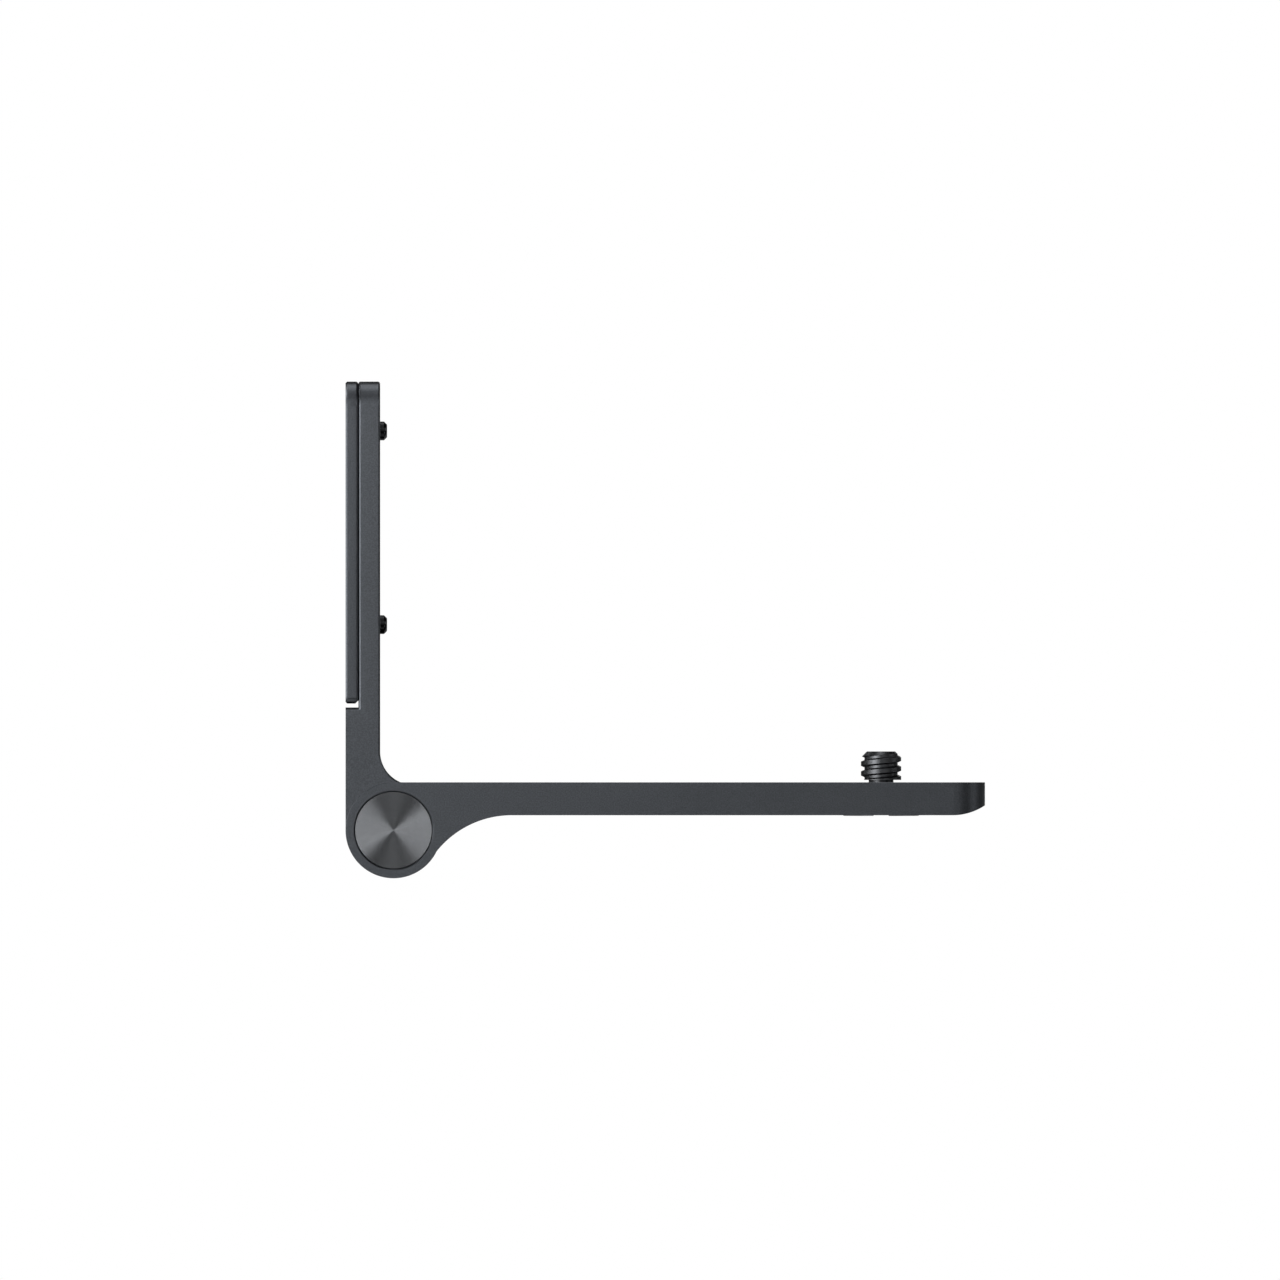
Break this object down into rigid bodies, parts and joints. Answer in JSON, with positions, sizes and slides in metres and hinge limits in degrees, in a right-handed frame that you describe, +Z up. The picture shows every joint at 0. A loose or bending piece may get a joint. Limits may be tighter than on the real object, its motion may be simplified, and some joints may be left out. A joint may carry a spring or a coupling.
{
  "type": "camera wall mount",
  "caption": "Folding wall bracket with a friction-hinged arm that carries a camera on a captive quarter-inch screw.",
  "frame": {"origin": "middle of the wall plate's rear face", "axes": "+X away from the wall along the arm, +Y across the bracket, +Z up the wall"},
  "size_m": [0.1015, 0.032, 0.0789],
  "materials": {
    "anodised": "bead-blasted and anodised grey",
    "turned_cap": "face turned in fine rings and anodised grey",
    "black_oxide": "black oxide, slightly glossy",
    "spring_steel": "plain bright steel",
    "bush_plastic": "natural bearing plastic"
  },
  "bodies": {
    "wall_side": {"wall_plate": "anodised", "upright": "anodised", "lock_screw_upper": "black_oxide", "lock_screw_lower": "black_oxide", "hinge_bush_near": "bush_plastic", "hinge_bush_far": "bush_plastic"},
    "arm": {"swing_arm": "anodised", "hinge_bolt": "black_oxide", "hinge_nut": "spring_steel", "head_washer": "spring_steel", "spring_washer": "spring_steel", "disc_spring_1": "spring_steel", "disc_spring_2": "spring_steel", "disc_spring_3": "spring_steel", "disc_spring_4": "spring_steel", "friction_washer_near": "spring_steel", "friction_washer_far": "spring_steel", "hinge_cap_near": "turned_cap", "hinge_cap_far": "turned_cap"},
    "camera_screw": {"camera_screw": "black_oxide"}
  },
  "joints": [
    {"name": "arm_hinge", "type": "hinge", "parent": "wall_side", "child": "arm", "pos_m": [0.00762, 0, -0.04568], "axis": [0, 1, 0], "range_deg": [0, 90]},
    {"name": "camera_screw_turn", "type": "hinge", "parent": "arm", "child": "camera_screw", "pos_m": [0.08502, 0, -0.03806], "axis": [0, 0, 1], "continuous": true}
  ]
}
